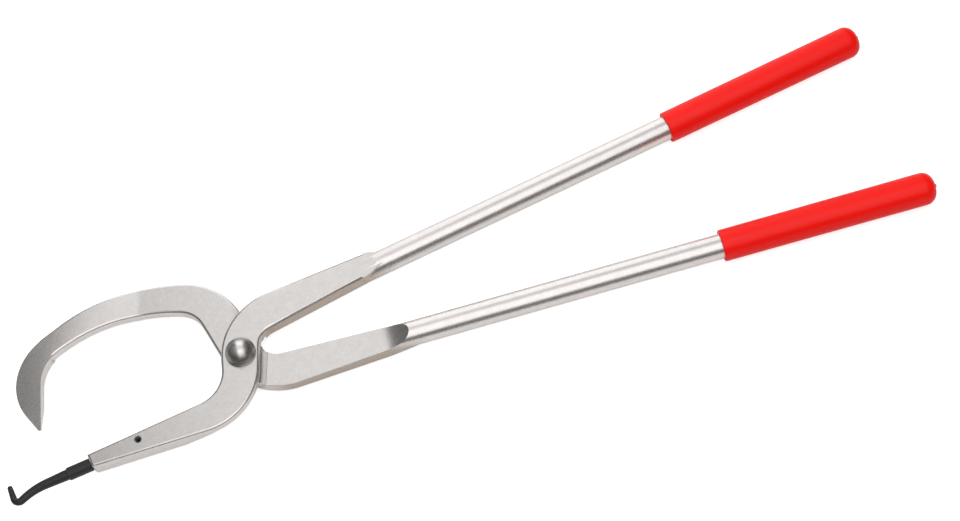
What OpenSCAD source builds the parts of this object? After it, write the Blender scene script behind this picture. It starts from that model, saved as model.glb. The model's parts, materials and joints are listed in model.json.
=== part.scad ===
// Long two-handed pliers for brake springs: two forged halves crossed at a rivet.
// Millimetres, +Z up. The origin is on the pivot axis, at the flat back face.
// +X runs midway between the two handle bars, so the jaws point along -X.
// Each half is drawn in its own frame: pivot at the origin, bar along +X.

/* [Handle bars] */
// Diameter of each round bar
bar_d = 15; // [14.5:0.5:17]
// Pivot to the end of each bar, inside its grip
bar_reach = 414.5; // [380:0.5:450]
// Angle between the two bars as the tool lies at rest
spread = 10.8; // [8:0.1:13]
// Pivot to the centre line of the front bar, across the bar
front_bar_offset = 17.5; // [16:0.1:19]
// Pivot to the centre line of the rear bar, across the bar
rear_bar_offset = 15; // [14:0.1:17]

/* [Grips] */
// Length of each grip, from its mouth to its rounded end
grip_length = 131; // [100:1:150]
// Largest diameter of a grip
grip_d = 19.5; // [19.2:0.1:24]
// Diameter of a grip at its mouth
grip_mouth_d = 19.1; // [18.4:0.1:19.4]
// Radius of the rounded lip at a grip's mouth
grip_lip_r = 0.8; // [0.4:0.1:1.2]
// Radius round the closed end of a grip
grip_end_r = 7; // [5:0.5:9]
// Grip material past the end of the bar
grip_end_t = 5; // [4:0.5:8]
// Diameter of the small nib on the end of a grip
grip_nib_d = 3; // [2:0.5:5]
// Diameter of the nib at its top
grip_nib_top_d = 1.8; // [1:0.1:1.9]
// Height of the nib
grip_nib_h = 1.2; // [0.5:0.1:2]
// Clearance round the bar inside a grip
grip_fit = 0.05; // [0.02:0.01:0.1]

/* [Forged thicknesses] */
// Thickness of the rear half where it passes under the front half
rear_leaf_t = 7.2; // [6:0.1:8]
// Thickness of the front half where it passes over the rear half
front_leaf_t = 6.2; // [5.5:0.1:7]
// Running gap between the two halves at the pivot
lap_gap = 0.1; // [0.05:0.05:0.3]
// Thickness of both flat blades
blade_t = 9; // [8.4:0.1:10]
// Thickness of the jaw arm past the lap
arm_root_t = 11; // [9:0.1:11.5]
// Thickness of the jaw arm at its square end
arm_end_t = 12; // [11:0.1:13]
// Radius round the pivot that the front half's lower side keeps free
lap_r = 25; // [24:0.5:28]

/* [Blades] */
// Pivot to the place where a bar reaches its full round section
blade_reach = 99; // [94:1:110]
// Radius of the cutter that ran each blade face out into its bar
run_out_r = 32; // [25:1:45]
// Radius of the flatter run-out on the top of the front blade
front_run_out_r = 150; // [100:5:180]
// Length over which a blade narrows into its bar
blade_taper = 13; // [10:1:16]
// Radius in the inner corners where a blade narrows into its bar
taper_r = 25; // [15:1:30]
// Radius on the outer corner where the front blade narrows into its bar
taper_edge_r = 12; // [6:1:14]
// Length over which the rear blade's underside corners are eased into its bar
corner_ease = 23; // [18:1:26]
// Radius round the bar's centre line at which that easing starts
corner_ease_r = 10.6; // [10.4:0.1:11.5]
// How far the eased corners run on past the place where the bar is round
corner_ease_past = 4; // [2:0.5:6]
// Pivot to the sharp corner of each heel, past the pivot along its bar
heel_at = 3; // [0:0.1:5]
// Radius round each heel
heel_r = 41; // [36:0.5:44]
// Pivot to the sharp corner of each throat, along its bar
throat_at = 14.6; // [13.5:0.1:16]
// Radius in each throat
throat_r = 11; // [8:0.5:12]
// Pivot to the outer edge of the front blade, at its heel
front_heel = 31.3; // [30:0.1:33]
// Pivot to the outer edge of the rear blade, at its heel
rear_heel = 28.4; // [27:0.1:30]
// Pivot to the inner edge of the front blade, at its throat
front_throat = 6.7; // [6:0.1:8]
// Pivot to the inner edge of the rear blade, at its throat
rear_throat = 4.9; // [4.5:0.1:6]
// Pivot to the underside step of the front blade
front_step = 17; // [15:0.5:20]
// Pivot to the line of the rear blade's shoulder, along the rear bar
rear_shoulder = 15.4; // [15:0.1:17]
// Lean of that shoulder from square to the rear bar, in degrees
shoulder_lean = 14; // [8:1:18]

/* [Jaw arm of the front half] */
// Pivot to the square end of the jaw arm, along the front bar
arm_reach = 105; // [95:0.5:120]
// Pivot to the centre of the hook's bore at the arm's end, across the front bar
arm_offset = 21.2; // [19:0.1:23]
// Width of the jaw arm at its square end
arm_end_w = 8.8; // [8.6:0.1:11]
// Width of the jaw arm at its root, up to the sharp outer corner
arm_root_w = 23.1; // [21:0.1:25]
// Fall of the arm's inner edge from its end to its root
arm_inner_fall = 1.7; // [0:0.1:4]
// Pivot to the sharp corner between neck and arm inside the jaws, along the front bar
neck_inner_at = 18.8; // [16:0.1:21]
// Radius in that inner corner
neck_inner_r = 20; // [14:0.5:24]
// Pivot to the sharp outer corner of the arm's root, along the front bar
neck_outer_at = 5.5; // [4:0.1:8]
// Radius round that outer corner
neck_outer_r = 39.5; // [34:0.5:41]
// Pivot to the start of the arm's thick part, along the front bar
arm_thick_from = 30; // [25:1:32]
// Length of the ramp up to the arm's full thickness
arm_ramp = 20; // [10:1:22]

/* [Claw of the rear half] */
// Pivot to the outermost point of the claw's back, along the rear bar
claw_reach = 136; // [130:0.5:144]
// Pivot to the top of the claw's back, across the rear bar
claw_rise = 62.3; // [58:0.1:67]
// Outermost point of the claw's back to midway between its two top corners, along the rear bar
claw_top_in = 60.9; // [56:0.1:65]
// Width of the claw across its top
claw_top_w = 17; // [14:0.2:19]
// Width of the claw across its back
claw_back_w = 14.4; // [12:0.2:16]
// Outermost point of the claw's back to its point, along the rear bar
claw_point_in = 10.3; // [7:0.1:13]
// Pivot to the claw's point, across the rear bar
claw_drop = 11.3; // [8:0.1:14]
// Width of the claw's blunt point
claw_point_w = 1.6; // [1:0.1:3]
// Pivot to the crease where the claw leaves the flat
claw_bend_at = 62; // [56:1:72]
// Turn of the crease from square to the rear bar, in degrees
claw_crease_turn = 10; // [4:1:16]
// Thickness of the claw past its crease
claw_t = 7; // [5.8:0.1:7.1]
// Thickness of the claw at its ground point
claw_point_t = 1.2; // [1:0.1:3]
// Angle at which the claw's underside is ground towards its point, in degrees
claw_grind = 20; // [14:1:26]
// Rise of the claw as it leaves the crease, in degrees
claw_bend_angle = 6; // [4:0.5:8]
// Radius to which the claw curves down again towards its point
claw_bend_r = 400; // [340:10:600]
// Radius in the crease
claw_crease_r = 42; // [30:1:60]

/* [Claw corners before rounding] */
// Pivot to the inner corner of the claw's root, along the rear bar
claw_root_in = 23.2; // [20:0.1:26]
// Pivot to the outer corner of the claw's root, along the rear bar
claw_root_out = 4.1; // [2:0.1:7]
// Fall of the claw's inner edge from its top corner to its root
claw_inner_fall = 14.3; // [11:0.1:17]
// Fall of the claw's outer edge from its top corner to its root
claw_outer_fall = 14.9; // [12:0.1:18]
// How far the inner top corner stands above the rounded inner edge
claw_inner_peak = 6.1; // [4:0.1:8]
// How far the outer top corner stands above the rounded top
claw_outer_peak = 7; // [5:0.1:9]
// How far the outer top corner lies past the inner one, along the rear bar
claw_top_skew = 14.8; // [11:0.1:18]
// How far the outer back corner stands past the rounded back
claw_back_peak = 9.9; // [8:0.1:12]
// How far the inner back corner stands inside the rounded inner edge
claw_bay_peak = 2.8; // [1:0.1:4]
// Height of the claw's top above its outer back corner
claw_back_fall = 35.8; // [32:0.1:39]
// Height of the claw's top above its inner back corner
claw_bay_fall = 31; // [28:0.1:34]

/* [Claw corner radii] */
// Radius in the inner corner of the claw's root
claw_root_in_r = 18.5; // [14:0.5:24]
// Radius in the inner top corner
claw_inner_top_r = 98; // [85:1:105]
// Radius in the inner back corner
claw_bay_r = 24; // [18:0.5:28]
// Radius round the outer back corner
claw_back_r = 33; // [27:0.5:36]
// Radius round the outer top corner
claw_top_r = 112; // [95:1:118]
// Radius round the outer corner of the claw's root
claw_root_out_r = 44; // [36:0.5:48]

/* [Pivot rivet] */
// Diameter of the rivet's shank
rivet_d = 10; // [8:0.5:11]
// Diameter of the rivet's domed head
rivet_head_d = 18; // [16:0.5:20]
// Height of the straight rim under the dome
rivet_rim_h = 1.6; // [1:0.1:3]
// Height of the dome above its rim
rivet_dome_h = 6.2; // [4:0.2:8]
// Diameter of the rivet's countersunk end on the back face
rivet_tail_d = 13; // [12:0.5:15]
// Depth of the countersink on the back face
rivet_tail_h = 1.6; // [1:0.1:2.5]
// Running clearance round the shank in the front half
rivet_fit = 0.05; // [0.02:0.01:0.1]
// Clearance round the shank and the countersunk end in the rear half
rivet_seat_fit = 0.02; // [0.01:0.01:0.05]
// Running gap between the head and the front half
rivet_head_gap = 0.1; // [0.05:0.05:0.3]

/* [Hook] */
// Diameter of the hook's shank in the arm
shank_d = 6; // [5:0.2:6.4]
// Depth of the shank's bore in the arm
shank_depth = 36; // [34:1:45]
// Free depth of the bore past the end of the shank
shank_gap = 1; // [0.5:0.1:2]
// Turn of the bore from the line of the front bar, in degrees
bore_turn = 2.2; // [0:0.2:3]
// Diameter of the collar that butts on the arm
collar_d = 7.9; // [7.4:0.1:8.4]
// Length of the collar
collar_length = 15; // [12:0.5:18]
// Width of the chamfer round the collar's outer end
collar_chamfer = 0.5; // [0.3:0.1:0.6]
// Diameter of the hook's rod where it leaves the collar
rod_root_d = 6.5; // [6:0.1:7]
// Diameter of the hook's rod at its elbow
rod_elbow_d = 4.6; // [4:0.1:5.2]
// Diameter of the hook's point before its rounded tip
point_d = 3.1; // [2.6:0.1:3.4]
// Straight length of the rod past the collar
rod_straight = 13.5; // [8:0.5:18]
// Radius to which the rod bends down to its elbow
rod_bend_r = 40; // [35:1:60]
// Angle of that bend, in degrees
rod_bend = 24; // [18:1:30]
// Radius of the elbow's centre line
elbow_r = 3; // [2.7:0.1:4]
// Angle between the elbow's two legs, turned through, in degrees
elbow_bend = 113; // [100:1:120]
// Straight length of the point past the elbow
point_length = 7.4; // [5:0.2:10]
// Clearance round the shank in its bore
shank_fit = 0.05; // [0.02:0.01:0.1]

/* [Hook pin] */
// Diameter of the spring pin that holds the hook
pin_d = 3.6; // [3:0.1:4]
// Diameter of the pin's own bore
pin_bore_d = 1.6; // [1.2:0.1:2]
// Width of the pin's slot
pin_slot_w = 0.7; // [0.4:0.1:1]
// How far the pin's ends lie below the faces of the arm
pin_sink = 1.2; // [0.5:0.1:2]
// Arm's square end to the pin
pin_at = 30.5; // [26:0.5:32]
// Width of the chamfer round the pin's hole
pin_chamfer = 0.5; // [0.3:0.1:0.8]
// Clearance round the pin
pin_fit = 0.03; // [0.02:0.01:0.1]

/* [Hidden] */
$fn = 96;
// Largest turn between two points of a rounded corner, in degrees
arc_step = 4;
// Steps along the curve of a run-out
run_out_steps = 16;
// Overlap where one cut must pass another
eps = 0.5;
// How far the eased end of the rear blade lies inside its bar
ease_sink = 0.1;
// Larger than the whole tool, and more than the tool is high
far = 600;
deep = 75;
// Slope of the claw's arch far past its point, in degrees, and turn between two points on it
arch_fall = 13;
arch_step = 1;
// Width of the grinder that thins the claw's point from below
grinder_w = 50;
// Sides of the hook's rod, and steps along its bend, its elbow and its tip
rod_sides = 28;
bend_steps = 8;
elbow_steps = 14;
tip_steps = 5;
// How far the hook's rod starts inside the collar
rod_root_in = 1;
// How far the roundings of the hook's tip and of a grip's end turn, in degrees
tip_turn = 80;
grip_end_turn = 75;
// Turn between two points on a grip's end and on its lip, in degrees
grip_end_step = 7.5;
grip_lip_step = 30;

bar_r = bar_d / 2;
lap_z = rear_leaf_t + lap_gap;
front_z = lap_z + front_leaf_t;
bar_z = front_z / 2;
grip_reach = bar_reach + grip_end_t;
shank_z = front_z - arm_end_t / 2;
arm_inner = -arm_offset + arm_end_w / 2 - arm_inner_fall;
claw_point_at = claw_reach - claw_point_in;
claw_top_at = claw_reach - claw_top_in;
claw_inner = claw_rise - claw_top_w;
ease_end = blade_reach + corner_ease_past;
ease_half = flat_half(blade_t) - ease_sink;

// Half the width of the flat that a face at height z makes along a bar
function flat_half(z) = sqrt(max(bar_r * bar_r - pow(z - bar_z, 2), 1));
// Length that a cutter of radius r needs to climb by h
function climb(h, r) = sqrt(max(2 * r * h - h * h, 0));

function unit(v) = v / norm(v);
// Points of an arc of radius r in the corner at p between its neighbours a and b
function corner(a, p, b, r) =
    let (
        u = unit(a - p),
        v = unit(b - p),
        half = acos(u * v) / 2,
        c = p + unit(u + v) * r / sin(half),
        first = p + u * r / tan(half) - c,
        turn = sign(u[1] * v[0] - u[0] * v[1]) * (180 - 2 * half),
        steps = max(1, ceil(abs(turn) / arc_step))
    )
    [for (i = [0:steps]) let (t = turn * i / steps)
        c + [first[0] * cos(t) - first[1] * sin(t), first[0] * sin(t) + first[1] * cos(t)]];

// Corner i of an outline, counted round
function corner_at(path, i) = let (c = path[(i + len(path)) % len(path)]) [c[0], c[1]];
// Length that the rounding of corner i takes of each edge beside it
function tangent(path, i) =
    let (p = corner_at(path, i), u = unit(corner_at(path, i - 1) - p), v = unit(corner_at(path, i + 1) - p))
    path[(i + len(path)) % len(path)][2] / tan(acos(u * v) / 2);
// Share of its roundings that the edge from corner i to the next one has room for
function room(path, i) =
    let (edge = norm(corner_at(path, i + 1) - corner_at(path, i)))
    min(1, edge / max(tangent(path, i) + tangent(path, i + 1), eps));

// Outline through corners [x, y, radius], with each corner rounded as far as its edges have room
function rounded(path) =
    [for (i = [0:len(path) - 1])
        let (p = corner_at(path, i), r = path[i][2] * min(room(path, i - 1), room(path, i)))
        each (r > 0 ? corner(corner_at(path, i - 1), p, corner_at(path, i + 1), r) : [p])];

// Front half seen from above: blade, neck over the pivot, and jaw arm
front_outline = rounded([
    [blade_reach, front_bar_offset + flat_half(front_z), 0],
    [blade_reach - blade_taper / 2, front_bar_offset + bar_r, taper_edge_r],
    [-heel_at, front_heel, heel_r],
    [-neck_inner_at, arm_inner, neck_inner_r],
    [-arm_reach, -arm_offset + arm_end_w / 2, 0],
    [-arm_reach, -arm_offset - arm_end_w / 2, 0],
    [-neck_outer_at, arm_inner - arm_root_w, neck_outer_r],
    [throat_at, front_throat, throat_r],
    [blade_reach - blade_taper, front_bar_offset - bar_r, taper_r],
    [blade_reach, front_bar_offset - flat_half(front_z), 0],
]);

// Rear half seen from above: blade, leaf under the pivot, and claw
rear_outline = rounded([
    [ease_end, -rear_bar_offset - ease_half, 0],
    [blade_reach - blade_taper, -rear_bar_offset - bar_r, taper_r],
    [-heel_at, -rear_heel, heel_r],
    [-claw_root_in, claw_inner + claw_inner_peak - claw_inner_fall, claw_root_in_r],
    [-claw_top_at + claw_top_skew / 2, claw_inner + claw_inner_peak, claw_inner_top_r],
    [-claw_reach + claw_back_w + claw_bay_peak, claw_rise - claw_bay_fall, claw_bay_r],
    [-claw_point_at + claw_point_w / 2, -claw_drop, 0],
    [-claw_point_at - claw_point_w / 2, -claw_drop, 0],
    [-claw_reach - claw_back_peak, claw_rise - claw_back_fall, claw_back_r],
    [-claw_top_at - claw_top_skew / 2, claw_rise + claw_outer_peak, claw_top_r],
    [-claw_root_out, claw_rise + claw_outer_peak - claw_outer_fall, claw_root_out_r],
    [throat_at, -rear_throat, throat_r],
    [blade_reach - blade_taper, -rear_bar_offset + bar_r, taper_r],
    [ease_end, -rear_bar_offset + ease_half, 0],
]);

module front_frame() rotate([0, 0, spread / 2]) children();
module rear_frame() rotate([0, 0, -spread / 2]) children();
// Frame at the arm's square end: +X out along the hook, origin on the bore
module hook_frame() {
    front_frame() translate([-arm_reach, -arm_offset, shank_z]) rotate([0, 0, 180 - bore_turn]) children();
}

module slab(z0, z1) translate([0, 0, z0]) linear_extrude(height = z1 - z0) children();

// Round bar whose faces above and below are milled flat towards the pivot
module handle_bar(y, z_low, z_high, high_r) {
    start = blade_reach - run_out_r;
    difference() {
        translate([start, y, bar_z]) rotate([0, 90, 0]) cylinder(d = bar_d, h = bar_reach - start);
        run_out(y, z_high, bar_z + bar_r - z_high, high_r, 1);
        run_out(y, z_low, z_low - bar_z + bar_r, run_out_r, -1);
    }
}

// What a cutter of radius r removes above a face (side 1) or below it (side -1) of a bar
// that stands out of the face by rise
module run_out(y, z, rise, r, side) {
    turn = acos(1 - (max(rise, 0) + eps) / r) / run_out_steps;
    arc = [for (i = [0:run_out_steps]) [r * sin(turn * i), side * r * (1 - cos(turn * i))]];
    translate([blade_reach - climb(rise, r), y, z]) rotate([90, 0, 0])
        linear_extrude(height = bar_d * 2, center = true)
            polygon(concat([[-far, 0]], arc, [[arc[run_out_steps][0], side * far], [-far, side * far]]));
}

// Top of the rear half from the crease on, as [length past the crease, height, slope]:
// up round the crease, then over an arch that falls towards the point
arch_from = [
    claw_crease_r * sin(claw_bend_angle),
    rear_leaf_t + claw_crease_r * (1 - cos(claw_bend_angle)),
];
crease_steps = ceil(claw_bend_angle / arch_step);
arch_steps = ceil((claw_bend_angle + arch_fall) / arch_step);
function arch_at(slope) = [
    arch_from[0] + claw_bend_r * (sin(claw_bend_angle) - sin(slope)),
    arch_from[1] + claw_bend_r * (cos(slope) - cos(claw_bend_angle)),
    slope,
];
claw_top_line = concat(
    [for (i = [0:crease_steps]) let (a = claw_bend_angle * i / crease_steps)
        [claw_crease_r * sin(a), rear_leaf_t + claw_crease_r * (1 - cos(a)), a]],
    [for (i = [1:arch_steps]) arch_at(claw_bend_angle - arch_step * i)]
);

// Side view square to the crease: the flat leaf, then the bent claw at an even thickness
module bent_side() {
    last = len(claw_top_line) - 1;
    polygon(concat(
        [[far, 0], [far, rear_leaf_t]],
        [for (p = claw_top_line) [-p[0], p[1]]],
        [for (i = [last:-1:0]) let (p = claw_top_line[i], t = i > crease_steps ? claw_t : rear_leaf_t)
            [-p[0] - t * sin(p[2]), p[1] - t * cos(p[2])]]
    ));
}

// Leaf and claw
module bent_flat() {
    intersection() {
        slab(-deep, deep) polygon(rear_outline);
        rotate([0, 0, -claw_crease_turn]) translate([-claw_bend_at, 0, 0]) rotate([90, 0, 0])
            linear_extrude(height = far, center = true) bent_side();
    }
}

// What is ground off under the claw's point
module point_grind() {
    past_crease = claw_point_at * cos(claw_crease_turn) - claw_drop * sin(claw_crease_turn) - claw_bend_at;
    slope = asin(sin(claw_bend_angle) - (past_crease - arch_from[0]) / claw_bend_r);
    translate([-claw_point_at, -claw_drop, arch_at(slope)[1] - claw_point_t])
        rotate([-claw_grind, slope, 0]) translate([-grinder_w / 2, -grinder_w / 2, -grinder_w])
            cube(grinder_w);
}

// Blade of the rear half, from its shoulder to its bar
module rear_blade() {
    slab(0, blade_t) intersection() {
        polygon(rear_outline);
        translate([rear_shoulder, 0]) rotate(-shoulder_lean) translate([0, -far / 2]) square(far);
    }
}

// What eases the corners of the rear blade into its bar
module corner_cut() {
    difference() {
        translate([ease_end - corner_ease, -far / 2, -far / 2]) cube(far);
        translate([ease_end - corner_ease - eps, -rear_bar_offset, bar_z]) rotate([0, 90, 0])
            cylinder(r1 = corner_ease_r, r2 = bar_r - ease_sink, h = corner_ease + 2 * eps);
    }
}

module rear_half() {
    color([0.78, 0.78, 0.77]) rear_frame() difference() {
        union() {
            difference() {
                union() {
                    bent_flat();
                    rear_blade();
                }
                corner_cut();
                point_grind();
            }
            handle_bar(-rear_bar_offset, 0, blade_t, run_out_r);
        }
        translate([0, 0, -eps]) cylinder(r = rivet_d / 2 + rivet_seat_fit, h = far);
        rivet_tail(rivet_seat_fit);
    }
}

// Countersunk end of the rivet, or with a clearance the seat that it fills
module rivet_tail(clearance) {
    cylinder(r1 = rivet_tail_d / 2 + clearance, r2 = rivet_d / 2 + clearance, h = rivet_tail_h);
}

// Side view of the arm under its leaf: a ramp down from the lap, then a slight taper
module arm_side() {
    full_at = arm_thick_from + arm_ramp;
    polygon([
        [-arm_thick_from, lap_z + eps],
        [-arm_thick_from, lap_z],
        [-full_at, front_z - arm_root_t],
        [-arm_reach, front_z - arm_end_t],
        [-arm_reach, lap_z + eps],
    ]);
}

module front_half() {
    color([0.8, 0.8, 0.79]) difference() {
        front_frame() union() {
            slab(lap_z, front_z) polygon(front_outline);
            slab(front_z - blade_t, lap_z + eps) intersection() {
                polygon(front_outline);
                translate([front_step, -far / 2]) square(far);
            }
            intersection() {
                slab(0, front_z) difference() {
                    polygon(front_outline);
                    circle(r = lap_r);
                }
                rotate([90, 0, 0]) linear_extrude(height = far, center = true) arm_side();
            }
            handle_bar(front_bar_offset, front_z - blade_t, front_z, front_run_out_r);
        }
        cylinder(r = rivet_d / 2 + rivet_fit, h = far);
        hook_frame() {
            translate([-shank_depth, 0, 0]) rotate([0, 90, 0])
                cylinder(r = shank_d / 2 + shank_fit, h = far);
            translate([-pin_at, 0, -far / 2]) cylinder(r = pin_d / 2 + pin_fit, h = far);
            translate([-pin_at, 0, front_z - shank_z - pin_chamfer])
                cylinder(r1 = pin_d / 2, r2 = pin_d / 2 + pin_chamfer, h = pin_chamfer);
        }
    }
}

// Rivet through both halves, domed above and flush below
module pivot_rivet() {
    head_z = front_z + rivet_head_gap;
    head_r = rivet_head_d / 2;
    dome_r = (head_r * head_r + rivet_dome_h * rivet_dome_h) / (2 * rivet_dome_h);
    color([0.42, 0.42, 0.43]) {
        rivet_tail(0);
        cylinder(d = rivet_d, h = head_z + eps);
        translate([0, 0, head_z]) cylinder(r = head_r, h = rivet_rim_h);
        intersection() {
            translate([0, 0, head_z + rivet_rim_h + rivet_dome_h - dome_r]) sphere(r = dome_r);
            translate([0, 0, head_z + rivet_rim_h]) cylinder(r = head_r, h = far);
        }
    }
}

// Length of the hook's rod from the collar to the start of its elbow
rod_length = rod_straight + rod_bend_r * rod_bend * PI / 180;
elbow_length = elbow_r * elbow_bend * PI / 180;

// Stations of the rod's centre line, each [x, y, heading, radius]
bend_from = collar_length + rod_straight;
elbow_from = [bend_from + rod_bend_r * sin(rod_bend), rod_bend_r * (1 - cos(rod_bend))];
elbow_centre = elbow_from + elbow_r * [sin(rod_bend), -cos(rod_bend)];
point_heading = rod_bend - elbow_bend;
point_from = elbow_centre + elbow_r * [-sin(point_heading), cos(point_heading)];

// Radius of the rod at a length s past the collar
function rod_r(s) =
    s < rod_length
        ? (rod_root_d + (rod_elbow_d - rod_root_d) * s / rod_length) / 2
        : (rod_elbow_d + (point_d - rod_elbow_d) * (s - rod_length) / (elbow_length + point_length)) / 2;

rod_stations = concat(
    [[collar_length - rod_root_in, 0, 0, rod_r(0)], [collar_length, 0, 0, rod_r(0)]],
    [for (i = [0:bend_steps]) let (a = rod_bend * i / bend_steps)
        [bend_from + rod_bend_r * sin(a), rod_bend_r * (1 - cos(a)), a,
            rod_r(rod_straight + rod_bend_r * a * PI / 180)]],
    [for (i = [1:elbow_steps]) let (a = rod_bend - elbow_bend * i / elbow_steps)
        [elbow_centre[0] - elbow_r * sin(a), elbow_centre[1] + elbow_r * cos(a), a,
            rod_r(rod_length + elbow_r * (rod_bend - a) * PI / 180)]],
    [for (i = [0:tip_steps]) let (a = tip_turn * i / tip_steps, s = point_length + point_d / 2 * sin(a))
        [point_from[0] + s * cos(point_heading), point_from[1] + s * sin(point_heading), point_heading,
            point_d / 2 * cos(a)]]
);

// Solid swept through the stations, each a ring of rod_sides points
module rod() {
    last = len(rod_stations) - 1;
    ring = rod_sides;
    points = [for (s = rod_stations) for (i = [0:ring - 1]) let (a = 360 * i / ring)
        [s[0] - s[3] * cos(a) * sin(s[2]), s[1] + s[3] * cos(a) * cos(s[2]), s[3] * sin(a)]];
    sides = [for (k = [0:last - 1]) for (i = [0:ring - 1]) let (j = (i + 1) % ring)
        each [
            [k * ring + i, (k + 1) * ring + j, k * ring + j],
            [k * ring + i, (k + 1) * ring + i, (k + 1) * ring + j],
        ]];
    ends = [
        [for (i = [0:ring - 1]) i],
        [for (i = [ring - 1:-1:0]) last * ring + i],
    ];
    polyhedron(points = points, faces = concat(sides, ends));
}

module hook() {
    color([0.23, 0.23, 0.22]) hook_frame() difference() {
        union() {
            translate([shank_gap - shank_depth, 0, 0]) rotate([0, 90, 0])
                cylinder(d = shank_d, h = shank_depth);
            rotate([0, 90, 0]) {
                cylinder(d = collar_d, h = collar_length - collar_chamfer);
                translate([0, 0, collar_length - collar_chamfer])
                    cylinder(d1 = collar_d, d2 = collar_d - 2 * collar_chamfer, h = collar_chamfer);
            }
            rod();
        }
        translate([-pin_at, 0, 0]) cylinder(r = pin_d / 2 + pin_fit, h = far, center = true);
    }
}

// Slotted spring pin across the arm and the hook's shank
module hook_pin() {
    arm_low = front_z - arm_root_t;
    color([0.3, 0.3, 0.3]) hook_frame() translate([-pin_at, 0, arm_low + pin_sink - shank_z]) difference() {
        length = arm_root_t - 2 * pin_sink;
        cylinder(d = pin_d, h = length);
        translate([0, 0, -eps]) cylinder(d = pin_bore_d, h = length + 2 * eps);
        translate([-pin_slot_w / 2, 0, -eps]) cube([pin_slot_w, pin_d, length + 2 * eps]);
    }
}

// Dipped grip round the end of a bar, turned about its own axis
module grip(y) {
    r = grip_d / 2;
    mouth_r = grip_mouth_d / 2;
    end = grip_length - grip_nib_h;
    mouth_at = [grip_reach - grip_length, y, bar_z];
    color([0.9, 0.08, 0.07]) translate(mouth_at) rotate([0, 90, 0]) difference() {
        rotate_extrude() polygon(concat(
            [[0, 0], [mouth_r - grip_lip_r, 0]],
            [for (a = [0:grip_lip_step:90])
                [mouth_r - grip_lip_r + grip_lip_r * sin(a), grip_lip_r * (1 - cos(a))]],
            [for (a = [0:grip_end_step:grip_end_turn])
                [r - grip_end_r + grip_end_r * cos(a), end - grip_end_r + grip_end_r * sin(a)]],
            [[grip_nib_d / 2, end], [grip_nib_top_d / 2, grip_length], [0, grip_length]]
        ));
        translate([0, 0, -eps]) cylinder(r = bar_r + grip_fit, h = grip_length - grip_end_t + eps);
    }
}

module front_grip() front_frame() grip(front_bar_offset);
module rear_grip() rear_frame() grip(-rear_bar_offset);

rear_half();
front_half();
pivot_rivet();
hook();
hook_pin();
front_grip();
rear_grip();
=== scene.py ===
"""Brake spring pliers: finishes, floor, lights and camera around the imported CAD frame.

Everything is in metres, in the frame of the part: pivot at the origin, +Z up through
the rivet's dome, the jaws along -X and the grips along +X.
"""

import json
import math

import bpy
from mathutils import Euler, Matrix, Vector


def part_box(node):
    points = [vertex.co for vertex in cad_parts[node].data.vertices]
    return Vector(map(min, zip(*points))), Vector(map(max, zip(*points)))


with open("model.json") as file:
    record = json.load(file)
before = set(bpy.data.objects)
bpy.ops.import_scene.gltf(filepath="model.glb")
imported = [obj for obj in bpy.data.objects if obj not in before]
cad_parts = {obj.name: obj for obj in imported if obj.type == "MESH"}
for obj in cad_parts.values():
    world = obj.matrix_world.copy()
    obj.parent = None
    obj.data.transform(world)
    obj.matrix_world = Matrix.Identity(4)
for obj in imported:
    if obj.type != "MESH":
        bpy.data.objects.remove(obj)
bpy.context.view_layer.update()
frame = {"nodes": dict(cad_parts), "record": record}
nodes = frame["nodes"]

MM = 0.001

# Camera, as fitted to the photograph
CAMERA_AT = Vector((0.10039, -0.55933, 1.11825))
CAMERA_TURN = Euler([math.radians(a) for a in (26.095, 7.189, -19.465)])
CAMERA_LENS = 78.75
CAMERA_NEAR = 0.01

# The tool lies on its grips, a hair above the floor
FLOOR_GAP = 0.02 * MM
FLOOR_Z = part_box("front_grip")[0].z - FLOOR_GAP
FLOOR_MIDDLE_X = 0.1
FLOOR_SIZE = 8
FLOOR_COLOUR = (0.84, 0.825, 0.81)
# Strength of the glow that lifts the floor to white for the camera
FLOOR_GLOW = 0.65

# Panels of light: name, low and high degrees from straight up towards +Y, low and high X,
# strength, and whether the panel shows in reflections
PANELS = [
    ("key", -52, 5, -0.5, 0.95, 1.2, True),
    ("top_left", 5, 35, -0.35, 0.13, 0.84, True),
    ("top_right", 5, 35, 0.13, 0.95, 0.50, True),
    ("back", 35, 90, -0.22, 0.95, 1.15, True),
    ("fill", -35, 35, -1.2, 1.5, 1.05, False),
]
PANEL_DISTANCE = 1.6
# Grey of the room round the panels, which the camera sees as white
ROOM_GREY = 0.14

# Full width of the rounding of each slot's edges, in mm
EDGE = {"forged_steel": 1.7, "rivet_steel": 0.3, "blackened_steel": 0.15, "red_dip": 0.3}
EDGE_SEGMENTS = 4
# Points of a mesh that are nearer than this are merged before the rounding, in mm
WELD = {"forged_steel": 0.12, "rivet_steel": 0.001, "blackened_steel": 0.001, "red_dip": 0.001}
# Faces that turn by less than this are merged before the rounding
FLAT_ANGLE = math.radians(0.3)
# Edges that stand out by more than this are rounded
ROUND_ANGLE = math.radians(50)
# Other edges stay sharp from this angle on
SHARP_ANGLE = math.radians(18)
# Share of the rounding below which an edge counts as not rounded
NO_ROUNDING = 0.001

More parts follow.
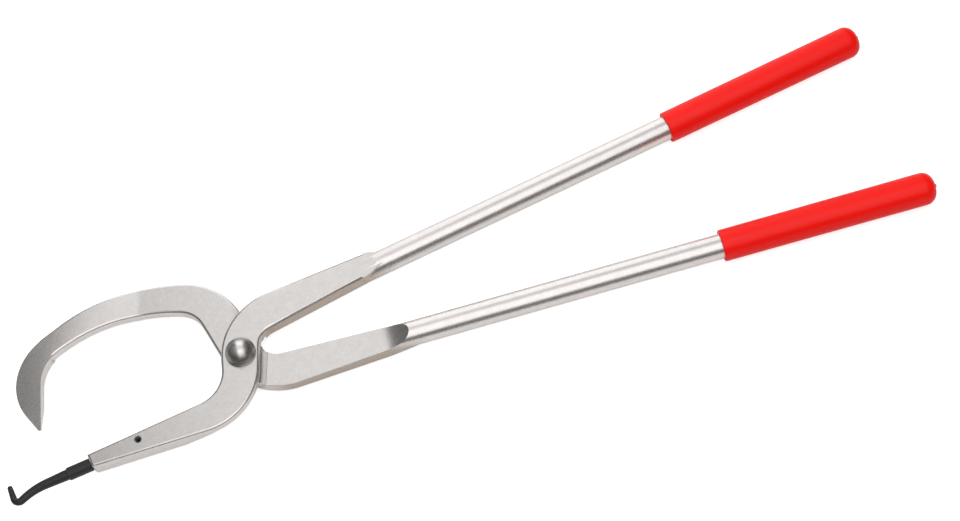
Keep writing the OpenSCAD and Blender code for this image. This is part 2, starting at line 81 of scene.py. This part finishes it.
# Boxes with less rounding: low and high corner in mm, and the share of the width.
# The blades' thin ears beside the run-outs have no room for more.
ZONES = {
    "rear_half": [
        ((5, -45, 8.5), (77, 10, 9.5), 0.18),  # top of the blade
        ((77, -45, -10), (116, 0, 20), 0.0),  # run-outs
        ((-200, -50, -10), (-108, 100, 20), 0.0),  # end of the claw
        ((-7, -7, -5), (7, 7, 20), 0.0),  # mouth of the rivet's bore
        ((5, -26, 4), (10, -21, 9.5), 0.0),  # outer corner of the shoulder
        ((12, -6, 4), (17, -1, 9.5), 0.0),  # inner corner of the shoulder
    ],
    "front_half": [
        ((12, 0, 4), (77, 50, 5), 0.18),  # underside of the blade
        ((77, 0, -10), (116, 50, 20), 0.0),  # run-outs
        ((-107, -34, 4), (-101, -26, 11), 0.0),  # mouth of the hook's bore
        ((-7, -7, -5), (7, 7, 20), 0.0),  # mouth of the rivet's bore
        ((12, 27, 4), (17, 32, 12.5), 0.0),  # outer corner of the step
        ((14, 5, 4), (19, 10, 12.5), 0.0),  # inner corner of the step
    ],
}

# Ranges for Nodes.spread: up, down, most of a noise's values, and nearly all of them
RISE = (0.0, 1.0)
FALL = (1.0, 0.0)
NOISE_MOST = (0.35, 0.65)
NOISE_ALL = (0.3, 0.7)
# A face is level from this much of its normal along Z
LEVEL = 0.99999


def setup(item, **settings):
    """Sets several properties of a node or modifier, and returns it."""
    for key, value in settings.items():
        setattr(item, key, value)
    return item


def rgb(r, g, b):
    return (r, g, b, 1.0)


class Nodes:
    """Short calls for building a node tree."""

    def __init__(self, tree):
        self.tree = tree
        tree.nodes.clear()

    def add(self, kind, sockets=None, **settings):
        """New node, with each of the sockets linked to a socket or set to a value."""
        node = setup(self.tree.nodes.new(kind), **settings)
        for key, value in (sockets or {}).items():
            if isinstance(value, bpy.types.NodeSocket):
                self.tree.links.new(value, node.inputs[key])
            else:
                node.inputs[key].default_value = value
        return node

    def calc(self, operation, a, b=0.0):
        return self.add("ShaderNodeMath", {0: a, 1: b}, operation=operation).outputs["Value"]

    def product(self, first, *others):
        for other in others:
            first = self.calc("MULTIPLY", first, other)
        return first

    def axes(self, vector):
        """X, Y and Z of a vector."""
        return list(self.add("ShaderNodeSeparateXYZ", {"Vector": vector}).outputs)

    def spread(self, value, source, target=RISE):
        """Maps a value from the range source to the range target, clamped."""
        sockets = {
            "Value": value,
            "From Min": source[0],
            "From Max": source[1],
            "To Min": target[0],
            "To Max": target[1],
        }
        return self.add("ShaderNodeMapRange", sockets).outputs["Result"]

    def between(self, place, start, end):
        """1 between two places along an axis, each given as where it fades, in mm."""
        start, end = ([edge * MM for edge in fade] for fade in (start, end))
        return self.product(self.spread(place, start), self.spread(place, end, FALL))

    def mix(self, factor, a, b, kind="RGBA"):
        sockets = {"Factor": factor, "A": a, "B": b}
        return self.add("ShaderNodeMix", sockets, data_type=kind).outputs["Result"]


class Finish(Nodes):
    """Node tree of a new material."""

    def __init__(self, name):
        self.material = bpy.data.materials.new(name)
        self.material.use_nodes = True
        super().__init__(self.material.node_tree)
        self.output = self.add("ShaderNodeOutputMaterial")
        self.position = self.add("ShaderNodeTexCoord").outputs["Object"]

    def noise(self, scale, detail, roughness, stretch=None):
        """Noise between about 0.25 and 0.75, at scale cells a metre."""
        place = self.position
        if stretch:
            sockets = {"Vector": place, "Scale": stretch}
            place = self.add("ShaderNodeMapping", sockets).outputs["Vector"]
        sockets = {"Vector": place, "Scale": scale, "Detail": detail, "Roughness": roughness}
        return self.add("ShaderNodeTexNoise", sockets).outputs["Fac"]

    def bump(self, height, distance, strength, **base):
        """Normal of a relief, distance in mm, on the Normal in base if it is given."""
        sockets = {"Height": height, "Distance": distance * MM, "Strength": strength}
        return self.add("ShaderNodeBump", {**sockets, **base}).outputs["Normal"]

    def surface(self, kind, sockets):
        """Puts a new shader on the material's surface, and returns the material."""
        shader = self.add(kind, sockets)
        self.tree.links.new(shader.outputs[0], self.output.inputs["Surface"])
        return self.material


def blasted_steel():
    """Bead-blasted, plated forging: fine grain and warm blotches, with painted shade that
    turns the blades' walls brown and darkens the pocket beside the neck.
    """
    m = Finish("forged_steel")
    grain = m.noise(scale=1300, detail=2.0, roughness=0.6)
    blotch = m.noise(scale=260, detail=3.0, roughness=0.6)
    geometry = m.add("ShaderNodeNewGeometry")
    smooth = geometry.outputs["Normal"]
    flat = geometry.outputs["True Normal"]
    x, _, z = m.axes(m.position)
    level = m.calc("GREATER_THAN", m.calc("ABSOLUTE", m.axes(flat)[2]), LEVEL)

    tone = m.spread(blotch, NOISE_MOST)
    plated = m.mix(tone, rgb(0.79, 0.755, 0.735), rgb(0.84, 0.805, 0.785))
    # Painted shade: walls of the blades, from just past the pivot to the bars, painted a
    # darker brown
    steep = m.spread(m.calc("ABSOLUTE", m.axes(smooth)[2]), (0.2, 0.5), FALL)
    painted_wall_shade = m.product(steep, m.between(x, start=(8, 20), end=(85, 105)))
    colour = m.mix(painted_wall_shade, plated, rgb(0.54, 0.475, 0.42))
    # Painted shade: the level pocket beside the neck, where the halves cross, painted a darker
    # grey
    low = m.spread(z, (6.5 * MM, 8 * MM), FALL)
    painted_pocket_shade = m.product(level, low, m.between(x, start=(2, 5), end=(18, 20)))
    colour = m.mix(painted_pocket_shade, colour, rgb(0.47, 0.455, 0.44))
    # Level faces are shaded as flat, however their corners were averaged
    normal = m.mix(level, smooth, flat, kind="VECTOR")
    return m.surface("ShaderNodeBsdfPrincipled", {
        "Base Color": colour,
        "Metallic": 1.0,
        "Roughness": m.spread(grain, NOISE_ALL, (0.26, 0.34)),
        "Normal": m.bump(grain, distance=0.02, strength=0.6, Normal=normal),
    })


def rivet_steel():
    """Gunmetal of the rivet's dome, with a painted highlight on its crown and painted shade
    round the rim.
    """
    m = Finish("rivet_steel")
    smear = m.noise(scale=300, detail=3.0, roughness=0.6)
    upright = m.axes(m.add("ShaderNodeNewGeometry").outputs["Normal"])[2]
    # Painted highlight and shade: faces that point up are painted bright and the rim dark,
    # with a random smear on top
    painted_crown_highlight = m.spread(upright, (0.80, 0.96), (0.0, 0.85))
    painted_highlight_and_smear = m.calc("ADD", painted_crown_highlight, m.spread(smear, NOISE_MOST, (-0.05, 0.15)))
    return m.surface("ShaderNodeBsdfPrincipled", {
        "Base Color": m.mix(painted_highlight_and_smear, rgb(0.34, 0.325, 0.31), rgb(0.96, 0.945, 0.93)),
        "Metallic": 1.0,
        "Roughness": m.spread(smear, NOISE_MOST, (0.30, 0.38)),
    })


def blackened_steel():
    """Satin black oxide of the hook and its pin."""
    m = Finish("blackened_steel")
    grain = m.noise(scale=900, detail=3.0, roughness=0.6)
    tone = m.spread(grain, NOISE_MOST)
    return m.surface("ShaderNodeBsdfPrincipled", {
        "Base Color": m.mix(tone, rgb(0.013, 0.013, 0.013), rgb(0.024, 0.024, 0.023)),
        "Metallic": 0.0,
        "Roughness": m.spread(grain, NOISE_ALL, (0.38, 0.5)),
        "Normal": m.bump(grain, distance=0.02, strength=0.5),
    })


def red_dip():
    """Dipped vinyl of the grips: smooth, with faint runs along the bar."""
    m = Finish("red_dip")
    wave = m.noise(scale=40, detail=2.0, roughness=0.5, stretch=(0.3, 1.0, 1.0))
    tone = m.spread(wave, NOISE_ALL)
    return m.surface("ShaderNodeBsdfPrincipled", {
        "Base Color": m.mix(tone, rgb(0.93, 0.006, 0.003), rgb(0.98, 0.009, 0.005)),
        "Roughness": 0.3,
        "Specular IOR Level": 0.2,
        "Normal": m.bump(wave, distance=0.25, strength=0.3),
    })


MATERIALS = {
    "forged_steel": blasted_steel(),
    "rivet_steel": rivet_steel(),
    "blackened_steel": blackened_steel(),
    "red_dip": red_dip(),
}


def edge_rules(zones):
    """Modifier nodes that say which edges are rounded, how much, and which stay sharp."""
    group = bpy.data.node_groups.new("edge_rules", "GeometryNodeTree")
    for way in ("INPUT", "OUTPUT"):
        group.interface.new_socket("Geometry", in_out=way, socket_type="NodeSocketGeometry")
    rules = Nodes(group)
    angle, signed = rules.add("GeometryNodeInputMeshEdgeAngle").outputs[:2]
    axes = rules.axes(rules.add("GeometryNodeInputPosition").outputs["Position"])
    rounded = rules.calc("GREATER_THAN", signed, ROUND_ANGLE)
    for low, high, share in zones:
        inside = rules.product(*(
            rules.calc(test, axis, edge * MM)
            for test, corner in (("GREATER_THAN", low), ("LESS_THAN", high))
            for axis, edge in zip(axes, corner)
        ))
        kept = rules.calc("SUBTRACT", 1.0, rules.product(inside, 1.0 - share))
        rounded = rules.product(rounded, kept)
    bent = rules.calc("GREATER_THAN", angle, SHARP_ANGLE)
    sharp = rules.product(bent, rules.calc("LESS_THAN", rounded, NO_ROUNDING))
    shape = rules.add("NodeGroupInput").outputs["Geometry"]
    for name, kind, value in (
        ("bevel_weight_edge", "FLOAT", rounded),
        ("sharp_edge", "BOOLEAN", sharp),
    ):
        shape = rules.add(
            "GeometryNodeStoreNamedAttribute",
            {"Geometry": shape, "Name": name, "Value": value},
            data_type=kind,
            domain="EDGE",
        ).outputs["Geometry"]
    rules.add("NodeGroupOutput", {"Geometry": shape})
    return group


def dress_nodes():
    """Gives each CAD node its material and rounded edges."""
    for row in frame["record"]["subparts"]:
        node = nodes[row["node"]]
        slot = row["material_slot"]
        node.data.materials.clear()
        node.data.materials.append(MATERIALS[slot])
        node.data.shade_smooth()
        add = node.modifiers.new
        setup(add("weld", "WELD"), merge_threshold=WELD[slot] * MM)
        setup(add("merge_flat", "DECIMATE"), decimate_type="DISSOLVE", angle_limit=FLAT_ANGLE)
        setup(add("edge_rules", "NODES"), node_group=edge_rules(ZONES.get(row["node"], [])))
        # A clamp would narrow all the rounding of a forging to suit its tightest spot
        setup(
            add("edge", "BEVEL"),
            width=EDGE[slot] * MM,
            segments=EDGE_SEGMENTS,
            limit_method="WEIGHT",
            use_clamp_overlap=slot != "forged_steel",
            loop_slide=False,
            face_strength_mode="FSTR_ALL",
        )
        setup(add("normals", "WEIGHTED_NORMAL"), keep_sharp=True, use_face_influence=True)


def floor():
    """Pale floor that the camera sees as white, with the tool's shadow."""
    bpy.ops.mesh.primitive_plane_add(size=FLOOR_SIZE, location=(FLOOR_MIDDLE_X, 0, FLOOR_Z))
    plane = bpy.context.object
    plane.name = "floor"
    m = Finish("floor")
    seen = m.add("ShaderNodeLightPath").outputs["Is Camera Ray"]
    paper = m.add("ShaderNodeBsdfDiffuse", {"Color": rgb(*FLOOR_COLOUR)})
    glow = m.add("ShaderNodeEmission", {"Strength": m.product(seen, FLOOR_GLOW)})
    both = m.surface("ShaderNodeAddShader", {0: paper.outputs[0], 1: glow.outputs[0]})
    plane.data.materials.append(both)


def softbox(name, low, high, x_low, x_high, strength, in_reflections):
    """Adds one of the PANELS, facing the X axis."""
    middle = math.radians((low + high) / 2)
    direction = Vector((0.0, math.sin(middle), math.cos(middle)))
    light = bpy.data.lights.new(name, "AREA")
    light.shape = "RECTANGLE"
    light.size = x_high - x_low
    light.size_y = 2 * PANEL_DISTANCE * math.tan(math.radians((high - low) / 2))
    light.energy = strength * math.pi * light.size * light.size_y
    lamp = bpy.data.objects.new(name, light)
    lamp.location = Vector(((x_low + x_high) / 2, 0.0, 0.0)) + direction * PANEL_DISTANCE
    lamp.rotation_euler = direction.to_track_quat("Z", "Y").to_euler()
    lamp.visible_glossy = in_reflections
    bpy.context.scene.collection.objects.link(lamp)


def lights():
    """Adds the panels, and a world that is grey for the object and white for the camera."""
    for panel in PANELS:
        softbox(*panel)
    world = bpy.context.scene.world or bpy.data.worlds.new("world")
    bpy.context.scene.world = world
    world.use_nodes = True
    tree = Nodes(world.node_tree)
    seen = tree.add("ShaderNodeLightPath").outputs["Is Camera Ray"]
    grey, white = (
        tree.add("ShaderNodeBackground", {"Color": rgb(level, level, level)}).outputs[0]
        for level in (ROOM_GREY, 1.0)
    )
    room = tree.add("ShaderNodeMixShader", {"Fac": seen, 1: grey, 2: white})
    tree.add("ShaderNodeOutputWorld", {"Surface": room.outputs[0]})


def camera():
    """Adds the camera of the photograph."""
    data = bpy.data.cameras.new("camera")
    data.lens = CAMERA_LENS
    data.clip_start = CAMERA_NEAR
    view = bpy.data.objects.new("camera", data)
    view.location = CAMERA_AT
    view.rotation_euler = CAMERA_TURN
    bpy.context.scene.collection.objects.link(view)
    bpy.context.scene.camera = view


camera()
dress_nodes()
floor()
lights()
bpy.context.scene.view_settings.view_transform = "Standard"

bpy.context.view_layer.update()
